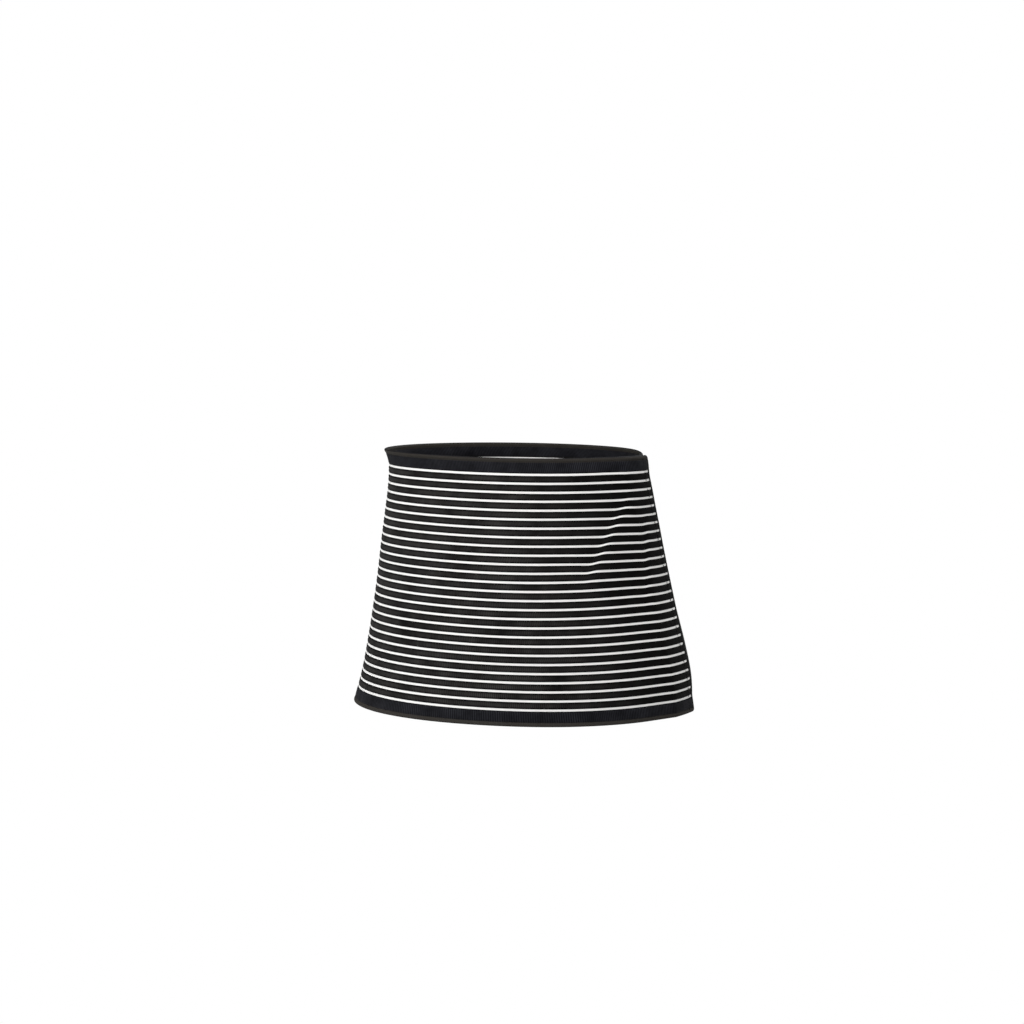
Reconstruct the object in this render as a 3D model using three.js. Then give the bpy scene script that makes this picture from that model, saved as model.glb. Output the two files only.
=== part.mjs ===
// Maternity support belt: a wide striped elastic wrap with ribbed hems, worn round the waist and hips.
// Millimetres, +Z up. The wearer faces -Y, so +X is the wearer's left side, where the belt closes.
// The origin is on the axis of the torso that the belt goes round, at half the belt's height.

import * as THREE from 'three';

// Heights of the worn belt
const belt_height = 244;
const hem_height = 13.5;

// Thicknesses
const knit_thickness = 2;
const tape_thickness = 1.2;
const groove_depth = 0.5;
const rim_bulge = 0.4;
const clearance = 0.3;
const layer_gap = 0.5;

// White stripes, which are the grooves between the black ribs
const stripe_count = 27;
const stripe_width = 2.7;

// Torso outline at the upper edge (waist) and the lower edge (hip), outside the cloth
const waist_width = 244;
const hip_width = 329;
const waist_front_depth = 73;
const hip_front_depth = 131;
const waist_back_depth = 84;
const hip_back_depth = 112;

// Closing at the wearer's left side: lengths along the belt
const closing_setback = 5.6;
const binding_width = 3;
const binding_seam = 0.6;
const tape_hidden_width = 36;
const tape_shown_width = 26;
const under_end_reach = 42;
const tent_length = 30;
const tape_over_hem = 6;
const tape_end_gap = 0.5;

// Pull fold that runs down from the closing edge towards the front
const fold_rise = 3;
const fold_relief = 1;
const fold_width = 4;
const fold_reach = 16;

// Fineness of the sweep: steps along the belt and rows up it
const closing_steps = 5;
const fold_steps = 12;
const body_steps = 31;
const under_steps = 12;
const inner_rows = 12;
const tape_rows = 10;
const binding_rows = 40;
const outline_samples = 720;
const fold_zone_end = 132;
const under_zone_start = 32;

// Sections up the belt. height: share of belt_height above the lower edge. width, front and back: share of
// the way from the waist size to the hip size. shift: sideways, as a share of waist_width.
// round: exponent of the front outline, 2 for an ellipse.
const sections = [
  { height: 0.0, width: 1.0, front: 1.0, back: 1.0, shift: 0.011, round: 2.0 },
  { height: 0.125, width: 0.894, front: 0.898, back: 0.93, shift: 0.024, round: 1.96 },
  { height: 0.25, width: 0.757, front: 0.777, back: 0.78, shift: 0.0225, round: 1.92 },
  { height: 0.375, width: 0.61, front: 0.647, back: 0.58, shift: 0.0157, round: 1.88 },
  { height: 0.5, width: 0.47, front: 0.514, back: 0.38, shift: 0.0087, round: 1.86 },
  { height: 0.625, width: 0.343, front: 0.381, back: 0.22, shift: 0.0042, round: 1.91 },
  { height: 0.75, width: 0.221, front: 0.25, back: 0.1, shift: 0.003, round: 1.98 },
  { height: 0.85, width: 0.134, front: 0.147, back: 0.03, shift: 0.0005, round: 2.04 },
  { height: 0.95, width: 0.067, front: 0.045, back: 0.0, shift: -0.0098, round: 2.1 },
  { height: 1.0, width: 0.062, front: 0.0, back: 0.0, shift: -0.0233, round: 2.13 },
];

// Where the closing edge lies in front of the side line. height: share of belt_height.
// setback: share of closing_setback.
const closing_line = [
  { height: 0.0, setback: 1.0 },
  { height: 0.5, setback: 0.32 },
  { height: 1.0, setback: 0.64 },
];

// Ends of the pull fold. along: share of hip_width, from the closing edge. height: share of belt_height.
const fold_line = [
  { along: 0.095, height: 0.88 },
  { along: 0.33, height: 0.5 },
];
// Share of the fold's length over which it rises from the smooth cloth at each end
const fold_fade = 0.28;

// Profile of a hem. It starts at the striped cloth, and its rim ends the belt. out: share of hem_height.
// depth: outward, as a share of rim_bulge. The inner face has the same rows where inside is true.
const hem_profile = [
  { out: 0.0, depth: -0.6, inside: true },
  { out: 0.05, depth: 0.0, inside: false },
  { out: 0.68, depth: 0.0, inside: false },
  { out: 0.73, depth: -0.8, inside: false },
  { out: 0.78, depth: 0.7, inside: false },
  { out: 0.92, depth: 1.0, inside: true },
  { out: 1.0, depth: -0.6, inside: true },
];

// Section of the side binding. across: share of binding_width. depth: share of knit_thickness, from its
// inner face. The first binding_outer_rows rows go over the outside, and the rest come back inside.
const binding_outer_rows = 6;
const binding_profile = [
  { across: 0.0, depth: 0.25 },
  { across: 0.0, depth: 0.95 },
  { across: 0.25, depth: 1.15 },
  { across: 0.75, depth: 1.15 },
  { across: 1.0, depth: 0.95 },
  { across: 1.0, depth: 0.25 },
  { across: 0.75, depth: 0.0 },
  { across: 0.25, depth: 0.0 },
];

const half_height = belt_height / 2;
const stripe_zone = belt_height - 2 * (hem_height + clearance);
const stripe_pitch = (stripe_zone - stripe_width) / (stripe_count - 1);
const under_tape = layer_gap;
const over_tape = under_tape + tape_thickness;
const overlap_lift = over_tape + layer_gap + knit_thickness;

const black_knit = new THREE.MeshStandardMaterial({ color: 0x1c1a1c, roughness: 0.9, metalness: 0 });
const black_rib = new THREE.MeshStandardMaterial({ color: 0x16171b, roughness: 0.85, metalness: 0 });
const black_tape = new THREE.MeshStandardMaterial({ color: 0x0e0e10, roughness: 0.95, metalness: 0 });

// Smooth value of one column of a table at a height share, through the chosen rows
function column_at(table, column, share) {
  const last = table.length - 1;
  const at = Math.min(Math.max(share, 0), 1);
  let i = 0;
  while (i < last - 1 && table[i + 1].height < at) i += 1;
  const slope = (k) => {
    const low = table[Math.max(k - 1, 0)];
    const high = table[Math.min(k + 1, last)];
    return (high[column] - low[column]) / (high.height - low.height);
  };
  const span = table[i + 1].height - table[i].height;
  const t = (at - table[i].height) / span;
  const rise = t * t * (3 - 2 * t);
  const leave = t * (1 - t) * (1 - t) * span * slope(i);
  const arrive = t * t * (1 - t) * span * slope(i + 1);
  return table[i][column] + (table[i + 1][column] - table[i][column]) * rise + leave - arrive;
}

const share_of = (z) => z / belt_height + 0.5;
const between = (low, high, share) => low + (high - low) * share;
const smooth_step = (t) => t * t * (3 - 2 * t);
const clamp01 = (t) => Math.min(Math.max(t, 0), 1);

// Outline of the torso at a height: points, outward normals and the distance from the +X side line,
// counted over the front, the wearer's right side and the back.
const outlines = new Map();
function outline(z) {
  const key = z.toFixed(4);
  if (outlines.has(key)) return outlines.get(key);
  const share = share_of(z);
  const width = column_at(sections, 'width', share);
  const half_width = between(waist_width, hip_width, width) / 2;
  const front = between(waist_front_depth, hip_front_depth, column_at(sections, 'front', share));
  const back = between(waist_back_depth, hip_back_depth, column_at(sections, 'back', share));
  const centre = waist_width * column_at(sections, 'shift', share);
  const exponent = column_at(sections, 'round', share);
  const power = (value, p) => Math.sign(value) * Math.abs(value) ** p;
  const points = [];
  let distance = 0;
  for (let i = 0; i <= outline_samples; i += 1) {
    const angle = (-2 * Math.PI * i) / outline_samples;
    const in_front = i < outline_samples / 2;
    const n = in_front ? exponent : 2;
    const depth = in_front ? front : back;
    const x = centre + half_width * power(Math.cos(angle), 2 / n);
    const y = depth * power(Math.sin(angle), 2 / n);
    const normal = new THREE.Vector2(
      power(Math.cos(angle), 2 - 2 / n) / half_width,
      power(Math.sin(angle), 2 - 2 / n) / depth,
    ).normalize();
    if (i > 0) distance += Math.hypot(x - points[i - 1].x, y - points[i - 1].y);
    points.push({ x, y, normal, distance });
  }
  const result = { points, girth: distance };
  outlines.set(key, result);
  return result;
}

// Point on an outline at a distance from the side line, moved outward
function on_outline(z, distance, outward) {
  const { points, girth } = outline(z);
  const wanted = ((distance % girth) + girth) % girth;
  let low = 0;
  let high = points.length - 1;
  while (high - low > 1) {
    const middle = (low + high) >> 1;
    if (points[middle].distance > wanted) high = middle;
    else low = middle;
  }
  const a = points[low];
  const b = points[high];
  const t = (wanted - a.distance) / (b.distance - a.distance);
  const normal = a.normal.clone().lerp(b.normal, t).normalize();
  return [
    between(a.x, b.x, t) + normal.x * outward,
    between(a.y, b.y, t) + normal.y * outward,
    z,
  ];
}

const setback_at = (z) => closing_setback * column_at(closing_line, 'setback', share_of(z));

// Outward lift of the outer layer over the tape: level on the tape, then a straight tent down to the body
function lift_at(along, z) {
  if (along > outline(z).girth / 2) return 0;
  const past = (along - tape_hidden_width) / tent_length;
  if (past <= 0) return overlap_lift;
  return past < 1 ? overlap_lift * (1 - past) ** 2 : 0;
}

// The pull fold: the cloth above its line stands out and is drawn up, the cloth below it sinks
function fold_at(along, z) {
  const start = new THREE.Vector2(fold_line[0].along * hip_width, (fold_line[0].height - 0.5) * belt_height);
  const end = new THREE.Vector2(fold_line[1].along * hip_width, (fold_line[1].height - 0.5) * belt_height);
  const direction = end.clone().sub(start);
  const length = direction.length();
  direction.normalize();
  const from_start = new THREE.Vector2(along, z).sub(start);
  const run = from_start.dot(direction) / length;
  const side = from_start.cross(direction);
  const fade = smooth_step(clamp01(run / fold_fade)) * smooth_step(clamp01((1 - run) / fold_fade));
  const shape = Math.tanh(side / fold_width) * Math.exp(-Math.abs(side) / fold_reach) * fade;
  return { rise: (shape * fold_rise) / 2, relief: shape * fold_relief };
}

// Point of the belt: distance along from the closing edge, height, and depth outside the cloth's face
function belt_point(along, z, depth) {
  const fold = fold_at(along, z);
  const outward = lift_at(along, z) + fold.relief + depth;
  const point = on_outline(z, along + setback_at(z), outward);
  point[2] += fold.rise;
  return point;
}

// Distances along the belt at which the sweep has a section, for one height
function stations(z, first) {
  const { girth } = outline(z);
  const zones = [
    { to: tape_hidden_width, steps: closing_steps },
    { to: fold_zone_end, steps: fold_steps },
    { to: girth - under_zone_start, steps: body_steps },
    { to: girth + under_end_reach, steps: under_steps },
  ];
  const result = [first];
  let from = first;
  for (const zone of zones) {
    for (let i = 1; i <= zone.steps; i += 1) result.push(between(from, zone.to, i / zone.steps));
    from = zone.to;
  }
  return result;
}

// End face of a ring: short triangles between its outer row, the first outer_count points, and its inner
// row, which comes back the other way. places holds how far along its row each point lies.
function end_face(places, outer_count) {
  const outer = places.slice(0, outer_count).map((_, i) => i);
  const inner = places.slice(outer_count).map((_, i) => places.length - 1 - i);
  const share = (row, k) => {
    const from = places[row[0]];
    return (places[row[k]] - from) / (places[row[row.length - 1]] - from);
  };
  const faces = [];
  let i = 0;
  let j = 0;
  while (i < outer.length - 1 || j < inner.length - 1) {
    const inner_done = j === inner.length - 1;
    const outer_left = i < outer.length - 1;
    if (outer_left && (inner_done || share(outer, i + 1) <= share(inner, j + 1))) {
      faces.push([outer[i], outer[i + 1], inner[j]]);
      i += 1;
    } else {
      faces.push([outer[i], inner[j + 1], inner[j]]);
      j += 1;
    }
  }
  return faces;
}

// Closed solid through rings with the same number of points, with an end face on the first and the last
function loft(rings, places, outer_count) {
  const count = places.length;
  const positions = rings.flat(2);
  const faces = [];
  for (let r = 0; r < rings.length - 1; r += 1) {
    for (let i = 0; i < count; i += 1) {
      const j = (i + 1) % count;
      const a = r * count + i;
      const b = r * count + j;
      faces.push([a, b, b + count], [a, b + count, a + count]);
    }
  }
  const last = (rings.length - 1) * count;
  for (const [a, b, c] of end_face(places, outer_count)) {
    faces.push([c, b, a], [last + a, last + b, last + c]);
  }
  const corner = (i) => new THREE.Vector3().fromArray(positions, 3 * i);
  let volume = 0;
  for (const [a, b, c] of faces) volume += corner(a).dot(corner(b).cross(corner(c)));
  if (volume < 0) faces.forEach((face) => face.reverse());
  const geometry = new THREE.BufferGeometry();
  geometry.setAttribute('position', new THREE.Float32BufferAttribute(positions, 3));
  geometry.setIndex(faces.flat());
  geometry.computeVertexNormals();
  return geometry;
}

// Outer and inner rows swept along the belt. Each row has a height z and a depth outside the cloth's face,
// and the inner rows come back the other way.
function sweep(outer, inner) {
  const rows = [...outer, ...inner];
  const first = binding_width + binding_seam;
  const along = rows.map((row) => stations(row.z, first));
  const rings = along[0].map((_, k) => rows.map((row, i) => belt_point(along[i][k], row.z, row.depth)));
  return loft(rings, rows.map((row) => row.z), outer.length);
}

function named_mesh(name, geometry, material) {
  const mesh = new THREE.Mesh(geometry, material);
  mesh.name = name;
  return mesh;
}

// Striped cloth: a groove at each stripe and a rib crest between stripes
function striped_panel() {
  const top = stripe_zone / 2;
  const outer = [{ z: top, depth: -groove_depth }];
  for (let k = 0; k < stripe_count; k += 1) {
    const z = top - stripe_width / 2 - k * stripe_pitch;
    outer.push({ z, depth: -groove_depth });
    if (k < stripe_count - 1) outer.push({ z: z - stripe_pitch / 2, depth: 0 });
  }
  outer.push({ z: -top, depth: -groove_depth });
  const inner = [];
  for (let k = 0; k <= inner_rows; k += 1) {
    inner.push({ z: between(-top, top, k / inner_rows), depth: -knit_thickness });
  }
  return named_mesh('striped_panel', sweep(outer, inner), black_knit);
}

// Hem along one edge: up is 1 for the upper hem and -1 for the lower one
function hem(name, up) {
  const start = half_height - hem_height;
  const level = (row) => up * (start + row.out * hem_height);
  const outer = hem_profile.map((row) => ({ z: level(row), depth: row.depth * rim_bulge }));
  const inner = hem_profile
    .filter((row) => row.inside)
    .map((row) => ({ z: level(row), depth: -knit_thickness - row.depth * rim_bulge }))
    .reverse();
  return named_mesh(name, sweep(outer, inner), black_rib);
}

// Binding down the closing edge, over the ends of the panel and both hems
function side_binding() {
  const rings = [];
  for (let k = 0; k <= binding_rows; k += 1) {
    const z = between(-half_height, half_height, k / binding_rows);
    rings.push(binding_profile.map((row) => {
      const depth = (row.depth - 1) * knit_thickness;
      return belt_point(row.across * binding_width, z, depth);
    }));
  }
  const places = binding_profile.map((row) => row.across);
  return named_mesh('side_binding', loft(rings, places, binding_outer_rows), black_tape);
}

// Plain hook-and-loop tape between the two layers, showing past the closing edge
function fastening_tape() {
  const bottom = -stripe_zone / 2 + tape_end_gap;
  const top = stripe_zone / 2 + tape_over_hem;
  const rings = [];
  for (let k = 0; k <= under_steps; k += 1) {
    const along = between(-tape_shown_width, tape_hidden_width, k / under_steps);
    const face = (depth) => (_, i) => {
      const z = between(bottom, top, i / tape_rows);
      return on_outline(z, along + setback_at(z), depth);
    };
    const outer = Array.from({ length: tape_rows + 1 }, face(over_tape));
    const inner = Array.from({ length: tape_rows + 1 }, face(under_tape));
    rings.push([...outer, ...inner.reverse()]);
  }
  const levels = Array.from({ length: tape_rows + 1 }, (_, i) => between(bottom, top, i / tape_rows));
  return named_mesh('fastening_tape', loft(rings, [...levels, ...levels.toReversed()], levels.length), black_tape);
}

const belt = new THREE.Group();
belt.name = 'maternity_support_belt';
belt.add(striped_panel(), hem('top_band', 1), hem('bottom_band', -1), side_binding(), fastening_tape());

export default belt;
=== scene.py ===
"""Worn maternity support belt: black elastic cloth with white stripes, ribbed hems and a bound edge.

Metres, +Z up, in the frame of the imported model. The wearer faces -Y, and the belt closes on the +X side.
The cloth is laid out along the belt, from its closing edge, and up it, and is then wrapped round the torso.
"""

import logging
import math
from dataclasses import dataclass, field
from enum import Enum
from functools import cached_property

import bmesh
import bpy
import numpy as np
from mathutils import Matrix, Vector


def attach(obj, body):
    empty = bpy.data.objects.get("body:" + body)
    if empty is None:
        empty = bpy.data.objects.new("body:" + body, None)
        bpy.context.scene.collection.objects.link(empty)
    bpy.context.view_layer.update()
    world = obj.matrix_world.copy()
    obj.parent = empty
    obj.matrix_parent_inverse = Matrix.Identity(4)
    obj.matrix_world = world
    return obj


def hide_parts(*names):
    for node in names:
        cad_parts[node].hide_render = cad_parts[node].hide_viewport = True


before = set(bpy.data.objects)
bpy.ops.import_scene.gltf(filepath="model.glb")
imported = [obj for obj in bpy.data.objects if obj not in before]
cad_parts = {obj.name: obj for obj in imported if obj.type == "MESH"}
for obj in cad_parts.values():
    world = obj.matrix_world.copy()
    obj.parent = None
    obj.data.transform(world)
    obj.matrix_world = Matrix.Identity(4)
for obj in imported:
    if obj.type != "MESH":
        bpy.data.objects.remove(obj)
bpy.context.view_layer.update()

log = logging.getLogger("support_belt")

ROOT_BODY = "root"
CLOTH_UV = "cloth"
MERGE_DISTANCE = 1e-6
HEM_HEIGHT = 0.0135

BMesh = bmesh.types.BMesh
Material = bpy.types.Material
Node = bpy.types.Node
NodeTree = bpy.types.NodeTree
Piece = bpy.types.Object
Socket = bpy.types.NodeSocket
Colour = tuple[float, float, float]


class Slot(Enum):
    """Material slots of the record. No piece here takes its finish from them; each builds its own."""

    KNIT = "striped_knit"
    HEM = "ribbed_hem"
    BINDING = "binding"
    TAPE = "hook_and_loop"


class Edge(Enum):
    """The belt's two long edges, with the sign of their height."""

    UPPER = 1
    LOWER = -1


# The torso that the belt goes round


@dataclass(frozen=True)
class Section:
    """One level of the torso. The lengths are shares of the sizes in Torso.

    height is a share of the belt's height above its lower edge. width, front and back run from 0 at the waist
    size to 1 at the hip size. shift is a share of the waist's width, and round the front outline's exponent.
    """

    height: float
    width: float
    front: float
    back: float
    shift: float
    round: float


@dataclass(frozen=True)
class Setback:
    """How far the closing edge lies in front of the side line at one level, as a share of the usual."""

    height: float
    setback: float


TORSO_SECTIONS = (
    Section(0.0, 1.0, 1.0, 1.0, 0.011, 2.0),
    Section(0.125, 0.894, 0.898, 0.93, 0.024, 1.96),
    Section(0.25, 0.757, 0.777, 0.78, 0.0225, 1.92),
    Section(0.375, 0.61, 0.647, 0.58, 0.0157, 1.88),
    Section(0.5, 0.47, 0.514, 0.38, 0.0087, 1.86),
    Section(0.625, 0.343, 0.381, 0.22, 0.0042, 1.91),
    Section(0.75, 0.221, 0.25, 0.1, 0.003, 1.98),
    Section(0.85, 0.134, 0.147, 0.03, 0.0005, 2.04),
    Section(0.95, 0.067, 0.045, 0.0, -0.0098, 2.1),
    Section(1.0, 0.062, 0.0, 0.0, -0.0233, 2.13),
)

CLOSING_LINE = (
    Setback(0.0, 1.05),
    Setback(0.1, 1.15),
    Setback(0.28, 1.1),
    Setback(0.5, 0.15),
    Setback(0.7, 0.4),
    Setback(0.87, 0.85),
    Setback(1.0, 0.2),
)


def column_at(rows: tuple, column: str, share: float) -> float:
    """Read one column of a table smoothly at a height.

    Args:
        rows: The table's rows, from the lowest height up.
        column: Name of the column.
        share: Height as a share of the belt's height.

    Returns:
        The value on a smooth curve through the rows.
    """
    last = len(rows) - 1
    share = min(max(share, 0.0), 1.0)
    low = 0
    while low < last - 1 and rows[low + 1].height < share:
        low += 1

    def slope(k: int) -> float:
        """Slope of the curve at row k."""
        before, after = rows[max(k - 1, 0)], rows[min(k + 1, last)]
        return (getattr(after, column) - getattr(before, column)) / (after.height - before.height)

    start, end = getattr(rows[low], column), getattr(rows[low + 1], column)
    span = rows[low + 1].height - rows[low].height
    t = (share - rows[low].height) / span
    rise = t * t * (3 - 2 * t)
    leave = t * (1 - t) ** 2 * span * slope(low)
    arrive = t * t * (1 - t) * span * slope(low + 1)
    return start + (end - start) * rise + leave - arrive


def smooth_step(t: np.ndarray) -> np.ndarray:
    """Ease from 0 to 1, level at both ends."""
    t = np.clip(t, 0.0, 1.0)
    return t * t * (3 - 2 * t)


@dataclass(frozen=True)
class Outline:
    """The torso's outline at one height, counted from the +X side line over the front."""

    x: np.ndarray
    y: np.ndarray
    normal_x: np.ndarray
    normal_y: np.ndarray
    distance: np.ndarray

    @property
    def girth(self) -> float:
        """Length of the whole outline."""
        return float(self.distance[-1])


@dataclass
class Torso:
    """The form that the cloth takes, as outlines up the belt's height."""

    belt_height: float = 0.244
    waist_width: float = 0.244
    hip_width: float = 0.329
    waist_front: float = 0.073
    hip_front: float = 0.131
    waist_back: float = 0.084
    hip_back: float = 0.112
    samples: int = 1440
    sections: tuple[Section, ...] = TORSO_SECTIONS
    back_round: float = 2.0
    key_digits: int = 7
    outlines: dict[float, Outline] = field(default_factory=dict)

    def share(self, z: float) -> float:
        """Height as a share of the belt's height above its lower edge."""
        return z / self.belt_height + 0.5

    def outline(self, z: float) -> Outline:
        """Work out the outline at a height.

        Args:
            z: Height above the belt's middle.

        Returns:
            The outline with its outward normals and running distance.
        """
        key = round(z, self.key_digits)
        if key in self.outlines:
            return self.outlines[key]
        share = self.share(z)

        def between(column: str, waist: float, hip: float) -> float:
            """Size at this height, between the waist size and the hip size."""
            return waist + (hip - waist) * column_at(self.sections, column, share)

        half_width = between("width", self.waist_width, self.hip_width) / 2
        front = between("front", self.waist_front, self.hip_front)
        back = between("back", self.waist_back, self.hip_back)
        centre = self.waist_width * column_at(self.sections, "shift", share)
        angle = np.linspace(0.0, -2 * math.pi, self.samples + 1)
        in_front = np.arange(self.samples + 1) < self.samples // 2
        exponent = np.where(in_front, column_at(self.sections, "round", share), self.back_round)
        depth = np.where(in_front, front, back)
        cos, sin = np.cos(angle), np.sin(angle)
        x = centre + half_width * np.sign(cos) * np.abs(cos) ** (2 / exponent)
        y = depth * np.sign(sin) * np.abs(sin) ** (2 / exponent)
        normal_x = np.sign(cos) * np.abs(cos) ** (2 - 2 / exponent) / half_width
        normal_y = np.sign(sin) * np.abs(sin) ** (2 - 2 / exponent) / depth
        length = np.hypot(normal_x, normal_y)
        distance = np.concatenate([[0.0], np.cumsum(np.hypot(np.diff(x), np.diff(y)))])
        self.outlines[key] = Outline(x, y, normal_x / length, normal_y / length, distance)
        return self.outlines[key]


@dataclass(frozen=True)
class Fold:
    """A step in the cloth along a straight line. Its right side is drawn up and stands out.

    start and end are distances along the belt from its closing edge, with heights above the belt's middle.
    The step dies out over reach to both sides, and over the share fade of its length at both ends.
    """

    start: tuple[float, float]
    end: tuple[float, float]
    rise: float
    relief: float
    width: float
    reach: float
    fade: float

    def shape(self, along: np.ndarray, z: float) -> np.ndarray:
        """Height of the step, from -1 on its left side to 1 on its right.

        Args:
            along: Distances along the belt from its closing edge.
            z: Height above the belt's middle.

        Returns:
            The height at each distance.
        """
        start, end = np.array(self.start), np.array(self.end)
        length = float(np.hypot(*(end - start)))
        direction = (end - start) / length
        from_start = np.stack([along - start[0], np.full_like(along, z - start[1])])
        run = (direction @ from_start) / length
        side = from_start[0] * direction[1] - from_start[1] * direction[0]
        fade = smooth_step(run / self.fade) * smooth_step((1 - run) / self.fade)
        return np.tanh(side / self.width) * np.exp(-np.abs(side) / self.reach) * fade


PULL_FOLD = Fold(
    start=(0.0313, 0.0927), end=(0.1086, 0.0),
    rise=0.0015, relief=0.0022, width=0.0030, reach=0.020, fade=0.28,
)
LAYER_RIDGE = Fold(
    start=(0.021, 0.080), end=(0.047, -0.030),
    rise=0.0007, relief=0.0008, width=0.0026, reach=0.012, fade=0.3,
)


@dataclass(frozen=True)
class Give:
    """A soft local give of the cloth round a place on it, upward and outward."""

    place: tuple[float, float]
    reach: tuple[float, float]
    rise: float = 0.0
    relief: float = 0.0

    def shape(self, along: np.ndarray, z: float) -> np.ndarray:
        """Share of the give at each distance along the belt, from 0 far away to 1 at its middle."""
        across = (along - self.place[0]) / self.reach[0]
        up = (z - self.place[1]) / self.reach[1]
        return np.exp(-(across**2) - up**2)


GIVES = (
    Give((0.150, 0.0), (0.080, 0.20), rise=-0.0010),
    Give((0.0, 0.120), (0.030, 0.050), rise=-0.0014),
    Give((0.080, 0.120), (0.090, 0.040), rise=-0.0007),
    Give((0.040, -0.120), (0.100, 0.030), rise=-0.0008),
    Give((0.325, 0.070), (0.070, 0.050), relief=0.0014),
    Give((0.325, 0.124), (0.060, 0.010), relief=0.0016),
)


@dataclass
class WornCloth:
    """The cloth's path round the torso, with its closing edge, overlap, folds and flared corners."""

    torso: Torso
    closing_setback: float = 0.0056
    knit_thickness: float = 0.002
    tape_thickness: float = 0.0012
    layer_gap: float = 0.0005
    tape_hidden: float = 0.036
    tent_length: float = 0.030
    under_reach: float = 0.042
    folds: tuple[Fold, ...] = (PULL_FOLD, LAYER_RIDGE)
    gives: tuple[Give, ...] = GIVES
    flare: float = 0.0018
    flare_height: float = 0.020
    flare_length: float = 0.030
    counted_back_from: float = 0.75

    @property
    def half_height(self) -> float:
        """Height of the belt's edges above and below its middle."""
        return self.torso.belt_height / 2

    @property
    def over_tape(self) -> float:
        """Outer face of the tape, outside the under layer."""
        return self.layer_gap + self.tape_thickness

    @property
    def overlap_lift(self) -> float:
        """How far the outer layer's face stands outside the under layer's."""
        return self.over_tape + self.layer_gap + self.knit_thickness

    def setback(self, z: float) -> float:
        """Distance of the closing edge in front of the side line."""
        return self.closing_setback * column_at(CLOSING_LINE, "setback", self.torso.share(z))

    def girth(self, z: float) -> float:
        """Length of the torso's outline at a height."""
        return self.torso.outline(z).girth

    def lift(self, along: np.ndarray, z: float) -> np.ndarray:
        """Outward lift of the outer layer over the tape, easing off past the tape's hidden edge."""
        past = np.clip((along - self.tape_hidden) / self.tent_length, 0.0, 1.0)
        lift = self.overlap_lift * (1 - past) ** 2
        return np.where(along > self.girth(z) / 2, 0.0, lift)

    def flare_at(self, along: np.ndarray, z: float) -> np.ndarray:
        """How far the closing edge's corners stand away from the body."""
        near_corner = smooth_step(1 - (self.half_height - abs(z)) / self.flare_height)
        return self.flare * near_corner * np.clip(1 - along / self.flare_length, 0.0, 1.0) ** 2

    def on_torso(self, along: np.ndarray, z: float, outward: np.ndarray) -> np.ndarray:
        """Points on the torso's outline, moved outward.

        Args:
            along: Distances along the belt from its closing edge.
            z: Height above the belt's middle.
            outward: Distances outside the outline.

        Returns:
            The points, one row each.
        """
        line = self.torso.outline(z)
        distance = np.mod(along + self.setback(z), line.girth)
        normal_x = np.interp(distance, line.distance, line.normal_x)
        normal_y = np.interp(distance, line.distance, line.normal_y)
        x = np.interp(distance, line.distance, line.x) + normal_x * outward
        y = np.interp(distance, line.distance, line.y) + normal_y * outward
        return np.stack([x, y, np.full_like(x, z)], axis=1)

    def drawn(self, along: np.ndarray, z: float) -> tuple[np.ndarray, np.ndarray]:
        """How the folds and gives move the cloth.

        Far round the back, places are counted back from the closing edge, so that the under layer moves with
        the layer on top of it.

        Args:
            along: Distances along the belt from its closing edge.
            z: Height above the belt's middle.

        Returns:
            The distances up and outward at each place.
        """
        girth = self.girth(z)
        place = np.where(along > self.counted_back_from * girth, along - girth, along)
        shapes = [(form, form.shape(place, z)) for form in (*self.folds, *self.gives)]
        rise = sum(shape * form.rise for form, shape in shapes)
        relief = sum(shape * form.relief for form, shape in shapes)
        return rise, relief

    def points(self, along: np.ndarray, z: float, depth: np.ndarray | float) -> np.ndarray:
        """Points of the cloth round the torso.

        Args:
            along: Distances along the belt from its closing edge.
            z: Height above the belt's middle.
            depth: Distance outside the cloth's face.

        Returns:
            The points, one row each.
        """
        rise, relief = self.drawn(along, z)
        outward = self.lift(along, z) + self.flare_at(along, z) + relief + depth
        points = self.on_torso(along, z, outward)
        points[:, 2] += rise
        return points


@dataclass(frozen=True)
class Row:
    """One row of a piece that is swept along the belt: its height and its depth outside the cloth's face."""

    z: float
    depth: float


@dataclass
class Sweep:
    """Columns along the belt, closer where the cloth overlaps and folds."""

    cloth: WornCloth
    first: float = 0.0022
    fold_zone_end: float = 0.132
    under_zone_start: float = 0.032
    fold_step: float = 0.0026
    body_step: float = 0.0062
    under_step: float = 0.0050

    def columns(self, z: float) -> np.ndarray:
        """Distances along the belt of all columns at a height."""
        girth = self.cloth.girth(z)
        usual = self.cloth.girth(0.0)
        hidden = self.cloth.tape_hidden
        under = self.under_zone_start + self.cloth.under_reach
        zones = (
            (hidden, math.ceil(hidden / self.fold_step)),
            (self.fold_zone_end, math.ceil((self.fold_zone_end - hidden) / self.fold_step)),
            (girth - self.under_zone_start, math.ceil((usual - self.fold_zone_end) / self.body_step)),
            (girth + self.cloth.under_reach, math.ceil(under / self.under_step)),
        )
        columns = [np.array([self.first])]
        start = self.first
        for end, steps in zones:
            columns.append(np.linspace(start, end, steps + 1)[1:])
            start = end
        return np.concatenate(columns)

    def relaxed(self, along: np.ndarray, z: float) -> np.ndarray:
        """Places along the undrawn cloth. Past the folds it gives evenly, so that its ribs stay upright."""
        start = self.fold_zone_end
        share = (self.cloth.girth(0.0) - start) / (self.cloth.girth(z) - start)
        return np.where(along > start, start + (along - start) * share, along)


def placed_object(name: str, data: bpy.types.ID) -> Piece:
    """Put an object with its data into the scene."""
    placed = bpy.data.objects.new(name, data)
    bpy.context.scene.collection.objects.link(placed)
    return placed


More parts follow.
